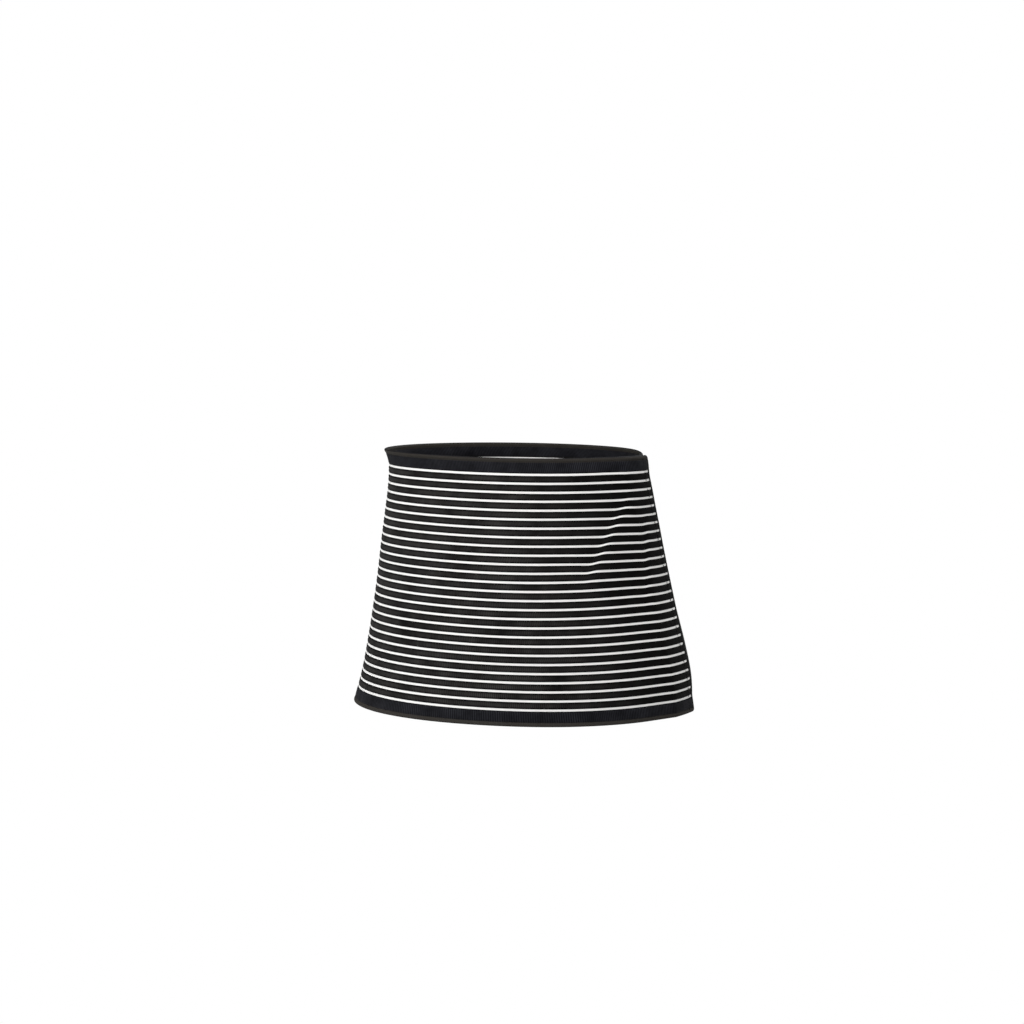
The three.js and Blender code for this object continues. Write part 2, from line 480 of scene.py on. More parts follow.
def mesh_object(bm: BMesh, name: str, material: Material) -> Piece:
    """Put a finished bmesh, which is freed, into the scene as an object."""
    mesh = bpy.data.meshes.new(name)
    bm.to_mesh(mesh)
    bm.free()
    mesh.materials.append(material)
    return placed_object(name, mesh)


def finish_piece(bm: BMesh, name: str, node: str | None, material: Material) -> Piece:
    """Turn a bmesh into a smooth piece that rides on the belt's body.

    Args:
        bm: The finished mesh, which is freed.
        name: Name of the piece.
        node: CAD node that it replaces, or None.
        material: The piece's material.

    Returns:
        The object.
    """
    for face in bm.faces:
        face.smooth = True
    piece = mesh_object(bm, name, material)
    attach(piece, ROOT_BODY)
    if node is not None:
        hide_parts(node)
    log.info("%s: %d faces", name, len(piece.data.polygons))
    return piece


def close_up(bm: BMesh) -> None:
    """Merge a profile's meeting rows, close its two ends and turn its faces outward."""
    bmesh.ops.remove_doubles(bm, verts=bm.verts, dist=MERGE_DISTANCE)
    bmesh.ops.holes_fill(bm, edges=[e for e in bm.edges if e.is_boundary], sides=0)
    bmesh.ops.recalc_face_normals(bm, faces=bm.faces)


def thicken(bm: BMesh, wall: float) -> None:
    """Turn an open wrapped sheet's faces away from the torso and give it a wall inward."""
    bmesh.ops.recalc_face_normals(bm, faces=bm.faces)
    outward = sum(face.normal.x * face.calc_center_median().x for face in bm.faces)
    if outward < 0:
        bmesh.ops.reverse_faces(bm, faces=bm.faces[:])
    bmesh.ops.solidify(bm, geom=bm.faces[:], thickness=wall)


def wrapped_grid(cloth: WornCloth, sweep: Sweep, rows: list[Row]) -> BMesh:
    """Make a flat grid and wrap it round the torso, with its own length and height as UV, in metres.

    Args:
        cloth: The cloth round the torso.
        sweep: The columns along the belt.
        rows: The rows up the belt, in order.

    Returns:
        The wrapped grid, open at its edges.
    """
    count = len(sweep.columns(0.0))
    bm = bmesh.new()
    bmesh.ops.create_grid(bm, x_segments=count - 1, y_segments=len(rows) - 1, size=1.0)
    uv = bm.loops.layers.uv.new(CLOTH_UV)
    tables = []
    for row in rows:
        along = sweep.columns(row.z)
        tables.append((sweep.relaxed(along, row.z), cloth.points(along, row.z, row.depth)))
    place = {}
    for vert in bm.verts:
        column = round((vert.co.x + 1) / 2 * (count - 1))
        level = round((vert.co.y + 1) / 2 * (len(rows) - 1))
        place[vert] = (column, level)
    for face in bm.faces:
        for loop in face.loops:
            column, level = place[loop.vert]
            loop[uv].uv = (tables[level][0][column], rows[level].z)
    for vert, (column, level) in place.items():
        vert.co = Vector(tables[level][1][column])
    return bm


# Shader node groups and finishes


def link(tree: NodeTree, source: Socket, target: Socket) -> None:
    """Connect two sockets."""
    tree.links.new(source, target)


def empty_tree(owner: Material | bpy.types.World) -> NodeTree:
    """Give a material or a world an empty node tree."""
    owner.use_nodes = True
    owner.node_tree.nodes.clear()
    return owner.node_tree


def set_inputs(node: Node, values: dict[str, float | tuple[float, ...]]) -> None:
    """Set the defaults of a node's inputs."""
    for label, value in values.items():
        node.inputs[label].default_value = value


def calc(tree: NodeTree, operation: str, *values: Socket | float, clamp: bool = False) -> Socket:
    """Add a Math node.

    Args:
        tree: The node tree.
        operation: The node's operation.
        values: Sockets or numbers for its inputs.
        clamp: Whether the result is kept from 0 to 1.

    Returns:
        The output socket.
    """
    node = tree.nodes.new("ShaderNodeMath")
    node.operation = operation
    node.use_clamp = clamp
    for value, socket in zip(values, node.inputs):
        if isinstance(value, (int, float)):
            socket.default_value = value
        else:
            link(tree, value, socket)
    return node.outputs[0]


def split_axes(tree: NodeTree, vector: Socket) -> Node:
    """Add a node that splits a vector into X, Y and Z."""
    node = tree.nodes.new("ShaderNodeSeparateXYZ")
    link(tree, vector, node.inputs[0])
    return node


def start_group(
    name: str, inputs: dict[str, float | None], outputs: tuple[str, ...],
) -> tuple[NodeTree, Node, Node]:
    """Make an empty group.

    Args:
        name: Name of the group.
        inputs: Name and default of each input; None is a vector.
        outputs: Names of the value outputs.

    Returns:
        The group, its input node and its output node.
    """
    group = bpy.data.node_groups.new(name, "ShaderNodeTree")
    for label, default in inputs.items():
        kind = "NodeSocketVector" if default is None else "NodeSocketFloat"
        socket = group.interface.new_socket(label, in_out="INPUT", socket_type=kind)
        if default is not None:
            socket.default_value = default
    for label in outputs:
        group.interface.new_socket(label, in_out="OUTPUT", socket_type="NodeSocketFloat")
    return group, group.nodes.new("NodeGroupInput"), group.nodes.new("NodeGroupOutput")


class GroupBook:
    """Shader node groups that more than one finish uses, each built at its first use."""

    stripe_softness = 0.00016
    gap_sharpness = 4.0
    fibre_contrast = {"Fuzz": 1.0, "Dye": 1.7}

    @cached_property
    def knit(self) -> NodeTree:
        """Rows of small V stitches. Height is their relief, and Gap is 1 in the holes between wales."""
        inputs = {"Cloth": None, "Wale": 0.0011, "Course": 0.0009}
        group, given, result = start_group("knit", inputs, ("Height", "Gap"))
        split = split_axes(group, given.outputs["Cloth"])
        wale = calc(group, "FRACT", calc(group, "DIVIDE", split.outputs["X"], given.outputs["Wale"]))
        off_centre = calc(group, "ABSOLUTE", calc(group, "SUBTRACT", wale, 0.5))
        course = calc(group, "DIVIDE", split.outputs["Y"], given.outputs["Course"])
        slanted = calc(group, "ADD", course, off_centre)
        wave = calc(group, "SINE", calc(group, "MULTIPLY", slanted, 2 * math.pi))
        loop = calc(group, "MULTIPLY_ADD", wave, 0.5, 0.5)
        gap = calc(group, "POWER", calc(group, "MULTIPLY", off_centre, 2.0), self.gap_sharpness)
        body = calc(group, "SUBTRACT", 1.0, gap)
        link(group, calc(group, "MULTIPLY", loop, body), result.inputs["Height"])
        link(group, gap, result.inputs["Gap"])
        return group

    @cached_property
    def ribs(self) -> NodeTree:
        """Fine ribs across the cloth's length. Height is 1 on a rib's crest and 0 between ribs."""
        group, given, result = start_group("ribs", {"Cloth": None, "Pitch": 0.0014}, ("Height",))
        split = split_axes(group, given.outputs["Cloth"])
        turn = calc(group, "DIVIDE", split.outputs["X"], given.outputs["Pitch"])
        wave = calc(group, "SINE", calc(group, "MULTIPLY", turn, 2 * math.pi))
        link(group, calc(group, "MULTIPLY_ADD", wave, 0.5, 0.5), result.inputs["Height"])
        return group

    @cached_property
    def stripes(self) -> NodeTree:
        """White stripes along the cloth. Mask is 1 on a stripe, and Across runs from 0 there to 1 mid rib."""
        inputs = {"Cloth": None, "Pitch": 0.008, "Width": 0.0027, "Wale": 0.0011, "Jag": 0.00005}
        group, given, result = start_group("stripes", inputs, ("Mask", "Across"))
        split = split_axes(group, given.outputs["Cloth"])
        turn = calc(group, "DIVIDE", split.outputs["Y"], given.outputs["Pitch"])
        nearest = calc(group, "PINGPONG", turn, 0.5)
        distance = calc(group, "MULTIPLY", nearest, given.outputs["Pitch"])
        wale = calc(group, "FRACT", calc(group, "DIVIDE", split.outputs["X"], given.outputs["Wale"]))
        tooth = calc(group, "SUBTRACT", calc(group, "PINGPONG", wale, 0.5), 0.25)
        jag = calc(group, "MULTIPLY", given.outputs["Jag"], 4.0)
        jagged = calc(group, "MULTIPLY_ADD", tooth, jag, distance)
        half = calc(group, "MULTIPLY", given.outputs["Width"], 0.5)
        past = calc(group, "SUBTRACT", jagged, half)
        soft = calc(group, "DIVIDE", past, self.stripe_softness)
        link(group, calc(group, "SUBTRACT", 0.5, soft, clamp=True), result.inputs["Mask"])
        link(group, calc(group, "MULTIPLY", nearest, 2.0), result.inputs["Across"])
        return group

    @cached_property
    def fibres(self) -> NodeTree:
        """Loose fibres and uneven dye. Fuzz is fine noise, and Dye is broad patches, both from 0 to 1."""
        inputs = {"Place": None, "Fuzz Scale": 2600.0, "Dye Scale": 38.0}
        group, given, result = start_group("fibres", inputs, ("Fuzz", "Dye"))
        for label, contrast in self.fibre_contrast.items():
            noise = group.nodes.new("ShaderNodeTexNoise")
            set_inputs(noise, {"Detail": 3.0, "Roughness": 0.6})
            link(group, given.outputs["Place"], noise.inputs["Vector"])
            link(group, given.outputs[f"{label} Scale"], noise.inputs["Scale"])
            offset = 0.5 - contrast / 2
            spread = calc(group, "MULTIPLY_ADD", noise.outputs["Fac"], contrast, offset, clamp=True)
            link(group, spread, result.inputs[label])
        return group


CLOTH_SPECULAR = 0.04
SHEEN_ROUGHNESS = 0.45


@dataclass(frozen=True)
class ClothFinish:
    """Values that every cloth finish has."""

    name: str
    roughness: float
    sheen: float
    bump: float
    bump_distance: float

    def start(self) -> tuple[Material, NodeTree, Node, Socket, Socket]:
        """Make the material and its Principled shader.

        Returns:
            The material, its tree, the shader, and the sockets of the cloth UV and the Object coordinates.
        """
        material = bpy.data.materials.new(self.name)
        tree = empty_tree(material)
        output = tree.nodes.new("ShaderNodeOutputMaterial")
        shader = tree.nodes.new("ShaderNodeBsdfPrincipled")
        link(tree, shader.outputs["BSDF"], output.inputs["Surface"])
        set_inputs(shader, {
            "Roughness": self.roughness,
            "Specular IOR Level": CLOTH_SPECULAR,
            "Sheen Weight": self.sheen,
            "Sheen Roughness": SHEEN_ROUGHNESS,
        })
        uv = tree.nodes.new("ShaderNodeUVMap")
        uv.uv_map = CLOTH_UV
        place = tree.nodes.new("ShaderNodeTexCoord")
        return material, tree, shader, uv.outputs["UV"], place.outputs["Object"]

    def dress(self, tree: NodeTree, shader: Node, colour: Socket, height: Socket) -> None:
        """Give the shader its colour, and its normal from a height."""
        link(tree, colour, shader.inputs["Base Color"])
        bump = tree.nodes.new("ShaderNodeBump")
        set_inputs(bump, {"Strength": self.bump, "Distance": self.bump_distance})
        link(tree, height, bump.inputs["Height"])
        link(tree, bump.outputs["Normal"], shader.inputs["Normal"])


def placed_group(tree: NodeTree, group: NodeTree, vector: Socket, **values: float) -> Node:
    """Place a node group in a material.

    Args:
        tree: The material's tree.
        group: The group.
        vector: Socket for its first input.
        values: Defaults for its other inputs, with spaces written as underscores.

    Returns:
        The group node.
    """
    node = tree.nodes.new("ShaderNodeGroup")
    node.node_tree = group
    link(tree, vector, node.inputs[0])
    set_inputs(node, {label.replace("_", " "): value for label, value in values.items()})
    return node


def colour_mix(tree: NodeTree, factor: Socket, first: Socket | Colour, second: Socket | Colour) -> Socket:
    """Mix two colours.

    Args:
        tree: The material's tree.
        factor: Socket from 0, the first colour, to 1, the second.
        first: Colour or socket.
        second: Colour or socket.

    Returns:
        The colour socket.
    """
    node = tree.nodes.new("ShaderNodeMix")
    node.data_type = "RGBA"
    link(tree, factor, node.inputs["Factor"])
    for label, value in (("A", first), ("B", second)):
        socket = next(s for s in node.inputs if s.name == label and s.type == "RGBA")
        if isinstance(value, tuple):
            socket.default_value = (*value, 1.0)
        else:
            link(tree, value, socket)
    return next(s for s in node.outputs if s.type == "RGBA")


@dataclass(frozen=True)
class StripedKnit(ClothFinish):
    """Black elastic knit whose thin white stripes lie between its ribs."""

    pitch: float
    stripe: float
    wale: float = 0.0007
    course: float = 0.0006
    wale_pair: float = 0.0016
    wale_contrast: float = 1.1
    black: Colour = (0.0012, 0.0011, 0.0010)
    rib_light: Colour = (0.0400, 0.0380, 0.0365)
    white: Colour = (0.86, 0.855, 0.84)
    white_gap: Colour = (0.66, 0.65, 0.64)
    # Painted shade: the ribs' lightness is cut down towards the closing edge, fully up to the first distance
    # along the belt and easing off to none at the second.
    shade_full_to: float = 0.04
    shade_gone_from: float = 0.19
    shaded_share: float = 0.12
    rib_start: float = 0.36
    rib_gain: float = 2.2
    fuzz: float = 0.35

    def material(self, book: GroupBook) -> Material:
        """Build the material from the shared node groups."""
        material, tree, shader, cloth, place = self.start()
        knit = placed_group(tree, book.knit, cloth, Wale=self.wale, Course=self.course)
        widths = {"Pitch": self.pitch, "Width": self.stripe, "Wale": self.wale}
        stripes = placed_group(tree, book.stripes, cloth, **widths)
        fibres = placed_group(tree, book.fibres, place)
        mid_rib = calc(tree, "SUBTRACT", stripes.outputs["Across"], self.rib_start, clamp=True)
        lightness = calc(tree, "MULTIPLY", mid_rib, self.rib_gain, clamp=True)
        dyed = calc(tree, "MULTIPLY", lightness, fibres.outputs["Dye"])
        # Painted shade on the ribs towards the closing edge.
        edge_shaded = calc(tree, "MULTIPLY", dyed, self.closing_edge_shade(tree, cloth))
        wales = placed_group(tree, book.ribs, cloth, Pitch=self.wale_pair)
        least = 1 - self.wale_contrast / 2
        upright = calc(tree, "MULTIPLY_ADD", wales.outputs["Height"], self.wale_contrast, least)
        looped = calc(tree, "MULTIPLY", upright, calc(tree, "ADD", knit.outputs["Height"], 0.5))
        knitted = calc(tree, "MULTIPLY", edge_shaded, looped, clamp=True)
        black = colour_mix(tree, knitted, self.black, self.rib_light)
        white = colour_mix(tree, knit.outputs["Gap"], self.white, self.white_gap)
        colour = colour_mix(tree, stripes.outputs["Mask"], black, white)
        fuzz = calc(tree, "MULTIPLY", fibres.outputs["Fuzz"], self.fuzz)
        self.dress(tree, shader, colour, calc(tree, "ADD", knit.outputs["Height"], fuzz))
        return material

    def closing_edge_shade(self, tree: NodeTree, cloth: Socket) -> Socket:
        """Paint shade onto the ribs towards the closing edge, as a share of their lightness.

        Args:
            tree: The material's tree.
            cloth: Socket with the place on the cloth.

        Returns:
            The socket, low at the closing end, where the painted shade is deepest, and 1 further along the
            belt.
        """
        split = split_axes(tree, cloth)
        ease = tree.nodes.new("ShaderNodeMapRange")
        ease.interpolation_type = "SMOOTHSTEP"
        link(tree, split.outputs["X"], ease.inputs["Value"])
        limits = {"From Min": self.shade_full_to, "From Max": self.shade_gone_from, "To Min": self.shaded_share}
        set_inputs(ease, limits)
        return ease.outputs["Result"]


@dataclass(frozen=True)
class RibbedHem(ClothFinish):
    """Dense bluish black hem with fine upright ribs and a lighter, browner rim: the tint is the yarn's, and
    part of the lightness is a painted highlight along the rolled edge.
    """

    rim_from: float
    edge_from: float
    pitch: float = 0.0018
    course: float = 0.0007
    dye_scale: float = 60.0
    rim_softness: float = 0.0006
    rim_tint_and_highlight_strength: float = 0.8
    edge_softness: float = 0.0004
    knit_relief: float = 0.3
    fuzz: float = 0.25
    black: Colour = (0.0030, 0.0031, 0.0042)
    crest: Colour = (0.0300, 0.0305, 0.0370)
    # Rim colour: a browner tint, lighter than the hem partly as a painted highlight on the rolled edge.
    rim: Colour = (0.0350, 0.0315, 0.0270)

    def material(self, book: GroupBook) -> Material:
        """Build the material from the shared node groups."""
        material, tree, shader, cloth, place = self.start()
        ribs = placed_group(tree, book.ribs, cloth, Pitch=self.pitch)
        knit = placed_group(tree, book.knit, cloth, Wale=self.pitch / 2, Course=self.course)
        fibres = placed_group(tree, book.fibres, place, Dye_Scale=self.dye_scale)
        split = split_axes(tree, cloth)
        height = calc(tree, "ABSOLUTE", split.outputs["Y"])
        past = calc(tree, "SUBTRACT", height, self.rim_from)
        rim = calc(tree, "DIVIDE", past, self.rim_softness, clamp=True)
        ribbed = calc(tree, "MULTIPLY", ribs.outputs["Height"], fibres.outputs["Dye"], clamp=True)
        body = colour_mix(tree, ribbed, self.black, self.crest)
        # Browner tint and painted highlight along the rolled rim.
        rim_tinted_and_lit = colour_mix(tree, calc(tree, "MULTIPLY", rim, self.rim_tint_and_highlight_strength), body, self.rim)
        last = calc(tree, "SUBTRACT", height, self.edge_from)
        edge = calc(tree, "DIVIDE", last, self.edge_softness, clamp=True)
        colour = colour_mix(tree, edge, rim_tinted_and_lit, self.black)
        crests = ribs.outputs["Height"]
        relief = calc(tree, "MULTIPLY_ADD", knit.outputs["Height"], self.knit_relief, crests)
        fuzz = calc(tree, "MULTIPLY", fibres.outputs["Fuzz"], self.fuzz)
        self.dress(tree, shader, colour, calc(tree, "ADD", relief, fuzz))
        return material


@dataclass(frozen=True)
class WovenBlack(ClothFinish):
    """Plain woven black of the binding and the thread."""

    pitch: float = 0.0006
    fuzz: float = 0.4
    black: Colour = (0.0025, 0.0025, 0.0027)
    crest: Colour = (0.0070, 0.0070, 0.0073)

    def material(self, book: GroupBook) -> Material:
        """Build the material from the shared node groups."""
        material, tree, shader, _, place = self.start()
        turned = tree.nodes.new("ShaderNodeMapping")
        turned.inputs["Rotation"].default_value = (math.radians(90), 0.0, 0.0)
        link(tree, place, turned.inputs["Vector"])
        knit = placed_group(tree, book.knit, turned.outputs["Vector"], Wale=self.pitch, Course=self.pitch)
        fibres = placed_group(tree, book.fibres, place)
        colour = colour_mix(tree, knit.outputs["Height"], self.black, self.crest)
        fuzz = calc(tree, "MULTIPLY", fibres.outputs["Fuzz"], self.fuzz)
        self.dress(tree, shader, colour, calc(tree, "ADD", knit.outputs["Height"], fuzz))
        return material


@dataclass(frozen=True)
class LoopPile(ClothFinish):
    """Short matt pile of the fastening tape, with a flat woven selvedge along both sides."""

    left: float
    right: float
    selvedge: float = 0.0022
    selvedge_softness: float = 0.0002
    weave: float = 0.0008
    weave_relief: float = 0.4
    fuzz_scale: float = 1500.0
    tuft_scale: float = 500.0
    tuft_gain: float = 1.6
    black: Colour = (0.0025, 0.0025, 0.0027)
    pile: Colour = (0.0085, 0.0085, 0.0088)

    def material(self, book: GroupBook) -> Material:
        """Build the material from the shared node groups."""
        material, tree, shader, cloth, place = self.start()
        pile = placed_group(
            tree, book.fibres, place, Fuzz_Scale=self.fuzz_scale, Dye_Scale=self.tuft_scale,
        )
        knit = placed_group(tree, book.knit, cloth, Wale=self.weave, Course=self.weave)
        split = split_axes(tree, cloth)
        middle = (self.left + self.right) / 2
        off = calc(tree, "ABSOLUTE", calc(tree, "SUBTRACT", split.outputs["X"], middle))
        edge = (self.right - self.left) / 2 - self.selvedge
        past = calc(tree, "SUBTRACT", off, edge)
        woven = calc(tree, "DIVIDE", past, self.selvedge_softness, clamp=True)
        tufts = calc(tree, "MULTIPLY", pile.outputs["Fuzz"], pile.outputs["Dye"])
        tufted = calc(tree, "MULTIPLY", tufts, self.tuft_gain, clamp=True)
        colour = colour_mix(tree, tufted, self.black, self.pile)
        flat = calc(tree, "MULTIPLY", knit.outputs["Height"], self.weave_relief)
        raised = tree.nodes.new("ShaderNodeMix")
        link(tree, woven, raised.inputs["Factor"])
        link(tree, pile.outputs["Fuzz"], raised.inputs["A"])
        link(tree, flat, raised.inputs["B"])
        self.dress(tree, shader, colour, raised.outputs["Result"])
        return material


# The belt's pieces


# Shares of a rib's height with depths in groove depths
RIB_PROFILE = ((0.08, -0.2), (0.27, 0.0), (0.5, -0.52), (0.73, 0.0), (0.92, -0.2))
STRIPE_CROWN = -0.7

# Shares of a hem's height with depths in rim bulges, up the outer face and over the rim
HEM_PROFILE = (
    (0.0, -1.4), (0.02, -0.5), (0.06, 0.0), (0.2, 0.15), (0.4, 0.25), (0.6, 0.1), (0.70, -0.4),
    (0.73, -1.3), (0.76, -0.1), (0.80, 0.7), (0.86, 1.0), (0.92, 0.9), (0.97, 0.1), (1.0, -1.6),
)

# Shares of the binding's width with depths in cloth thicknesses above the inner face
BINDING_PROFILE = (
    (0.0, 0.2), (0.0, 0.85), (0.08, 1.05), (0.25, 1.16), (0.5, 1.19), (0.75, 1.16), (0.92, 1.05),
    (1.0, 0.85), (1.0, 0.2), (0.92, 0.05), (0.75, 0.0), (0.25, 0.0), (0.08, 0.05),
)


@dataclass
class StripedPanel:
    """The striped cloth between the hems, in one wall from the closing edge to the hidden under end."""

    cloth: WornCloth
    hem_height: float = HEM_HEIGHT
    seam: float = 0.0003
    stripe_count: int = 27
    stripe_width: float = 0.0027
    white_width: float = 0.0020
    groove: float = 0.0005
    tuck: float = 0.0016
    wall: float = 0.0014

    @property
    def zone(self) -> float:
        """Height of the striped cloth."""
        return self.cloth.torso.belt_height - 2 * (self.hem_height + self.seam)

    @property
    def pitch(self) -> float:
        """Distance from stripe to stripe."""
        return (self.zone - self.stripe_width) / (self.stripe_count - 1)

    def rows(self) -> list[Row]:
        """Rows from the lower seam up: a shallow dome on each stripe and two low crests on each rib."""
        rib = self.pitch - self.stripe_width
        rows = [Row(-self.zone / 2 - self.tuck, -self.groove), Row(-self.zone / 2, -self.groove)]
        for k in range(self.stripe_count):
            centre = (k - (self.stripe_count - 1) / 2) * self.pitch
            rows.append(Row(centre, STRIPE_CROWN * self.groove))
            rows.append(Row(centre + self.stripe_width / 2, -self.groove))
            if k < self.stripe_count - 1:
                start = centre + self.stripe_width / 2
                rows.extend(Row(start + up * rib, depth * self.groove) for up, depth in RIB_PROFILE)
                rows.append(Row(start + rib, -self.groove))
        rows.append(Row(self.zone / 2 + self.tuck, -self.groove))
        return rows

    def build(self, book: GroupBook) -> Piece:
        """Build the wrapped cloth with its wall and finish."""
        bm = wrapped_grid(self.cloth, Sweep(self.cloth), self.rows())
        thicken(bm, self.wall)
        finish = StripedKnit(
            "striped_knit", roughness=0.62, sheen=0.01, bump=0.45, bump_distance=0.00022,
            pitch=self.pitch, stripe=self.white_width,
        )
        piece = finish_piece(bm, "striped_cloth", "striped_panel", finish.material(book))
        return piece


@dataclass
class Hem:
    """A folded hem along one edge: ribbed face, a seam line and a rolled rim."""

    cloth: WornCloth
    edge: Edge
    height: float = HEM_HEIGHT
    thickness: float = 0.002
    rim_bulge: float = 0.0004
    rim_share: float = 0.68
    dark_edge: float = 0.0007

    def rows(self) -> list[Row]:
        """Closed profile: up the outer face, over the rim and down the inner face, which has no seam line."""
        start = self.cloth.half_height - self.height
        sign = self.edge.value
        rows = [Row(sign * (start + up * self.height), depth * self.rim_bulge) for up, depth in HEM_PROFILE]
        seam = min(row.depth for row in rows[1:-1])
        inner = [Row(row.z, -self.thickness - row.depth) for row in reversed(rows) if row.depth != seam]
        return [*rows, *inner, rows[0]]

    def build(self, book: GroupBook) -> Piece:
        """Build the hem with closed ends."""
        sweep = Sweep(self.cloth, body_step=0.005, fold_step=0.003)
        bm = wrapped_grid(self.cloth, sweep, self.rows())
        close_up(bm)
        half = self.cloth.half_height
        rim_from = half - self.height * (1 - self.rim_share)
        name = f"{self.edge.name.lower()}_hem"
        node = "top_band" if self.edge is Edge.UPPER else "bottom_band"
        finish = RibbedHem(
            name, roughness=0.6, sheen=0.01, bump=0.7, bump_distance=0.0003,
            rim_from=rim_from, edge_from=half - self.dark_edge,
        )
        piece = finish_piece(bm, name, node, finish.material(book))
        return piece


@dataclass
class ClosingEdge:
    """The binding down the closing edge, the tape under it and the stitches beside it."""

    cloth: WornCloth
    panel: StripedPanel
    width: float = 0.0024
    levels: int = 156
    tip_middle: float = 0.6
    tip_steps: tuple[float, ...] = (0.0003, 0.0005, 0.0008, 0.0013, 0.0020, 0.0029)
    tip_length: float = 0.0022
    tip_narrowing: float = 0.6
    tape_shown: float = 0.026
    tape_over_hem: float = 0.006
    tape_end_gap: float = 0.0005
    tape_stand_off: float = 0.0002
    tape_grid: tuple[int, int] = (26, 60)
    tape_rounding: float = 0.0004
    tape_rounding_reach: float = 0.0012
    stitch_inset: float = 0.0105
    stitch_length: float = 0.0021
    stitch_gap: float = 0.0011
    stitch_margin: float = 0.002
    thread: float = 0.00032
    thread_proud: float = 0.00005

    def binding(self, book: GroupBook) -> Piece:
        """Build the binding over the ends of the cloth and both hems, with its two tips rounded off."""
        tips = [self.cloth.half_height - step for step in self.tip_steps]
        between = np.linspace(-tips[-1], tips[-1], self.levels)[1:-1]
        heights = [*(-tip for tip in tips), *between, *reversed(tips)]
        corners = len(BINDING_PROFILE)
        bm = bmesh.new()
        bmesh.ops.create_grid(bm, x_segments=corners, y_segments=len(heights) - 1, size=1.0)
        uv = bm.loops.layers.uv.new(CLOTH_UV)
        for vert in bm.verts:
            across, depth = BINDING_PROFILE[round((vert.co.x + 1) / 2 * corners) % corners]
            z = heights[round((vert.co.y + 1) / 2 * (len(heights) - 1))]
            near_tip = max(0.0, 1 - (tips[0] - abs(z)) / self.tip_length)
            fullness = 1 - self.tip_narrowing * near_tip**2
            along = np.array([(1 - (1 - across) * fullness) * self.width])
            level = self.tip_middle + (depth - self.tip_middle) * fullness
            outward = (level - 1) * self.cloth.knit_thickness
            vert.co = Vector(self.cloth.points(along, z, outward)[0])
        for face in bm.faces:
            for loop in face.loops:
                loop[uv].uv = (loop.vert.co.x, loop.vert.co.z)
        close_up(bm)
        finish = WovenBlack("binding_weave", roughness=0.8, sheen=0.1, bump=0.5, bump_distance=0.0002)
        return finish_piece(bm, "edge_binding", "side_binding", finish.material(book))

    def tape(self, book: GroupBook) -> Piece:
        """Build the tape between the layers, with rounded long edges."""
        bottom = -self.panel.zone / 2 + self.tape_end_gap
        top = self.panel.zone / 2 + self.tape_over_hem
        left, right = -self.tape_shown, self.cloth.tape_hidden
        bm = bmesh.new()
        bmesh.ops.create_grid(bm, x_segments=self.tape_grid[0], y_segments=self.tape_grid[1], size=1.0)
        uv = bm.loops.layers.uv.new(CLOTH_UV)
        flat = {vert: ((vert.co.x + 1) / 2, (vert.co.y + 1) / 2) for vert in bm.verts}
        laid = {v: (left + (right - left) * a, bottom + (top - bottom) * b) for v, (a, b) in flat.items()}
        for face in bm.faces:
            for loop in face.loops:
                loop[uv].uv = laid[loop.vert]
        for vert, (along, z) in laid.items():
            from_edge = min(along - left, right - along)
            rounding = self.tape_rounding * max(0.0, 1 - from_edge / self.tape_rounding_reach) ** 2
            place = np.array([along])
            rise, relief = self.cloth.drawn(place, z)
            depth = self.cloth.over_tape - rounding + relief
            vert.co = Vector(self.cloth.on_torso(place, z, depth)[0]) + Vector((0.0, 0.0, rise[0]))
        thicken(bm, self.cloth.over_tape - self.tape_stand_off)
        finish = LoopPile(
            "loop_pile", roughness=0.95, sheen=0.01, bump=0.9, bump_distance=0.0005, left=left, right=right,
        )
        piece = finish_piece(bm, "fastening_strip", "fastening_tape", finish.material(book))
        return piece

    def stitches(self, book: GroupBook) -> Piece:
        """Build the row of thread stitches that holds the turned-in edge."""
        bm = bmesh.new()
        bottom = -self.cloth.half_height + self.stitch_margin
        step = self.stitch_length + self.stitch_gap
        along = np.array([self.stitch_inset])
        for k in range(int(-2 * bottom / step)):
            z = bottom + (k + 0.5) * step
            reach = self.stitch_length / 2
            low = Vector(self.cloth.points(along, z - reach, self.thread_proud)[0])
            high = Vector(self.cloth.points(along, z + reach, self.thread_proud)[0])
            axis = high - low
            turn = axis.to_track_quat("Z", "Y").to_matrix().to_4x4()
            stretch = Matrix.Diagonal((self.thread, self.thread, axis.length / 2, 1))
            placed = Matrix.Translation((low + high) / 2) @ turn @ stretch
            bmesh.ops.create_uvsphere(bm, u_segments=8, v_segments=6, radius=1.0, matrix=placed)
        finish = WovenBlack("thread", roughness=0.6, sheen=0.0, bump=0.3, bump_distance=0.0001)
        return finish_piece(bm, "edge_stitches", None, finish.material(book))


# Studio


@dataclass(frozen=True)
class SoftLight:
    """A square area light: its place, the side of its square and its power in watts."""

    name: str
    place: tuple[float, float, float]
    side: float
    power: float

    def add(self) -> None:
        """Add the light, facing the belt."""
        data = bpy.data.lights.new(self.name, "AREA")
        data.size = self.side
        data.energy = self.power
        light = placed_object(self.name, data)
        light.location = self.place
        light.rotation_euler = (-Vector(self.place)).to_track_quat("-Z", "Y").to_euler()


LIGHTS = (
    SoftLight("overhead", (-0.2, -1.35, 2.0), 2.2, 76.0),
    SoftLight("key", (-2.4, -0.7, 0.45), 1.4, 17.0),
    SoftLight("back", (0.6, 1.6, 2.0), 1.6, 50.0),
)
WHITE = (1.0, 1.0, 1.0, 1.0)


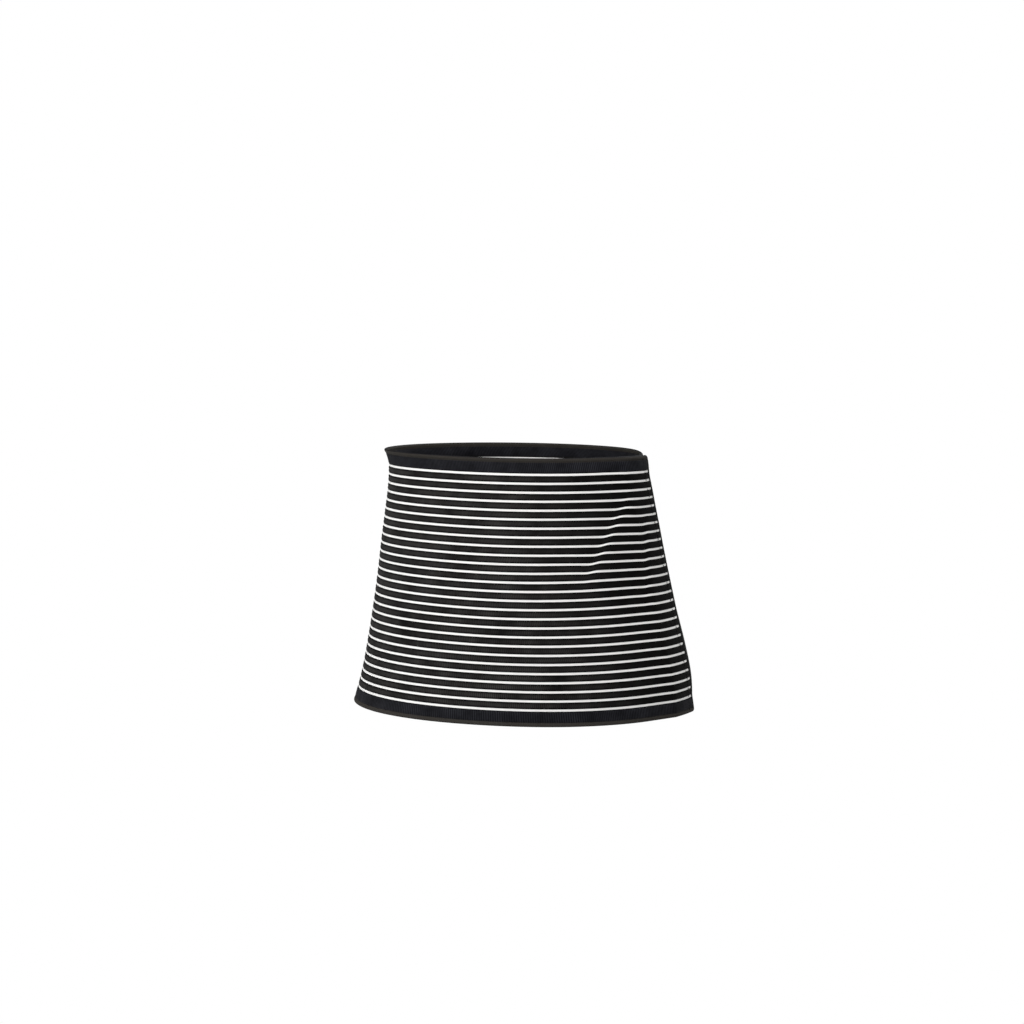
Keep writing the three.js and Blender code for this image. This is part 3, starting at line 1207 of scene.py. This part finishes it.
@dataclass
class Studio:
    """Pale floor and surround, soft lights and the camera at the photograph's angle."""

    azimuth: float = 14.0
    pitch: float = 6.2
    distance: float = 2.8
    aim_right: float = -0.00686
    aim_up: float = 0.06231
    metres_per_pixel: float = 0.00096
    frame_pixels: int = 1024
    sensor: float = 36.0
    far: float = 30.0
    floor_level: float = -0.70
    floor_radius: float = 8.0
    floor_segments: int = 96
    paper: Colour = (0.93, 0.93, 0.93)
    surround: float = 0.2

    def build(self) -> None:
        """Build the whole studio."""
        self.camera()
        self.floor()
        self.lights()

    def camera(self) -> None:
        """Place the camera so that the belt has its place and size in the frame."""
        turn, rise = math.radians(self.azimuth), math.radians(self.pitch)
        back = Vector((math.sin(turn) * math.cos(rise), -math.cos(turn) * math.cos(rise), math.sin(rise)))
        aim = Vector((math.cos(turn), math.sin(turn), 0.0)) * self.aim_right + Vector((0.0, 0.0, self.aim_up))
        data = bpy.data.cameras.new("photo_camera")
        data.sensor_width = self.sensor
        data.lens = self.distance / self.metres_per_pixel / self.frame_pixels * self.sensor
        data.clip_end = self.far
        camera = placed_object("photo_camera", data)
        camera.location = aim + back * self.distance
        camera.rotation_euler = (-back).to_track_quat("-Z", "Y").to_euler()
        bpy.context.scene.camera = camera

    def floor(self) -> None:
        """Build the plain floor, which looks as white as the surround and still sends soft light upward."""
        bm = bmesh.new()
        bmesh.ops.create_circle(bm, cap_ends=True, segments=self.floor_segments, radius=self.floor_radius)
        bmesh.ops.translate(bm, verts=bm.verts, vec=(0.0, 0.0, self.floor_level))
        material = bpy.data.materials.new("studio_paper")
        tree = empty_tree(material)
        paper = tree.nodes.new("ShaderNodeBsdfDiffuse")
        paper.inputs["Color"].default_value = (*self.paper, 1.0)
        white = tree.nodes.new("ShaderNodeEmission")
        self.seen_as(tree, paper.outputs["BSDF"], white.outputs["Emission"], "ShaderNodeOutputMaterial")
        mesh_object(bm, "floor", material)

    @staticmethod
    def seen_as(tree: NodeTree, lighting: Socket, seen: Socket, output: str) -> None:
        """Send one shader to the camera and another to every other ray.

        Args:
            tree: The node tree.
            lighting: The shader for all other rays.
            seen: The shader for the camera.
            output: Kind of the output node.
        """
        rays = tree.nodes.new("ShaderNodeLightPath")
        mix = tree.nodes.new("ShaderNodeMixShader")
        link(tree, rays.outputs["Is Camera Ray"], mix.inputs["Fac"])
        link(tree, lighting, mix.inputs[1])
        link(tree, seen, mix.inputs[2])
        link(tree, mix.outputs["Shader"], tree.nodes.new(output).inputs["Surface"])

    def lights(self) -> None:
        """Light softly from above and from the left, with a white surround."""
        world = bpy.data.worlds.new("studio")
        tree = empty_tree(world)
        shaders = []
        for strength in (self.surround, 1.0):
            shader = tree.nodes.new("ShaderNodeBackground")
            set_inputs(shader, {"Color": WHITE, "Strength": strength})
            shaders.append(shader.outputs["Background"])
        self.seen_as(tree, *shaders, "ShaderNodeOutputWorld")
        bpy.context.scene.world = world
        for light in LIGHTS:
            light.add()
        bpy.context.scene.view_settings.view_transform = "Standard"


def main() -> None:
    """Build the belt and its studio."""
    logging.basicConfig(level=logging.INFO)
    book = GroupBook()
    cloth = WornCloth(Torso())
    panel = StripedPanel(cloth)
    Studio().build()
    panel.build(book)
    Hem(cloth, Edge.UPPER).build(book)
    Hem(cloth, Edge.LOWER).build(book)
    closing = ClosingEdge(cloth, panel)
    closing.binding(book)
    closing.tape(book)
    closing.stitches(book)


if __name__ == "__main__":
    main()
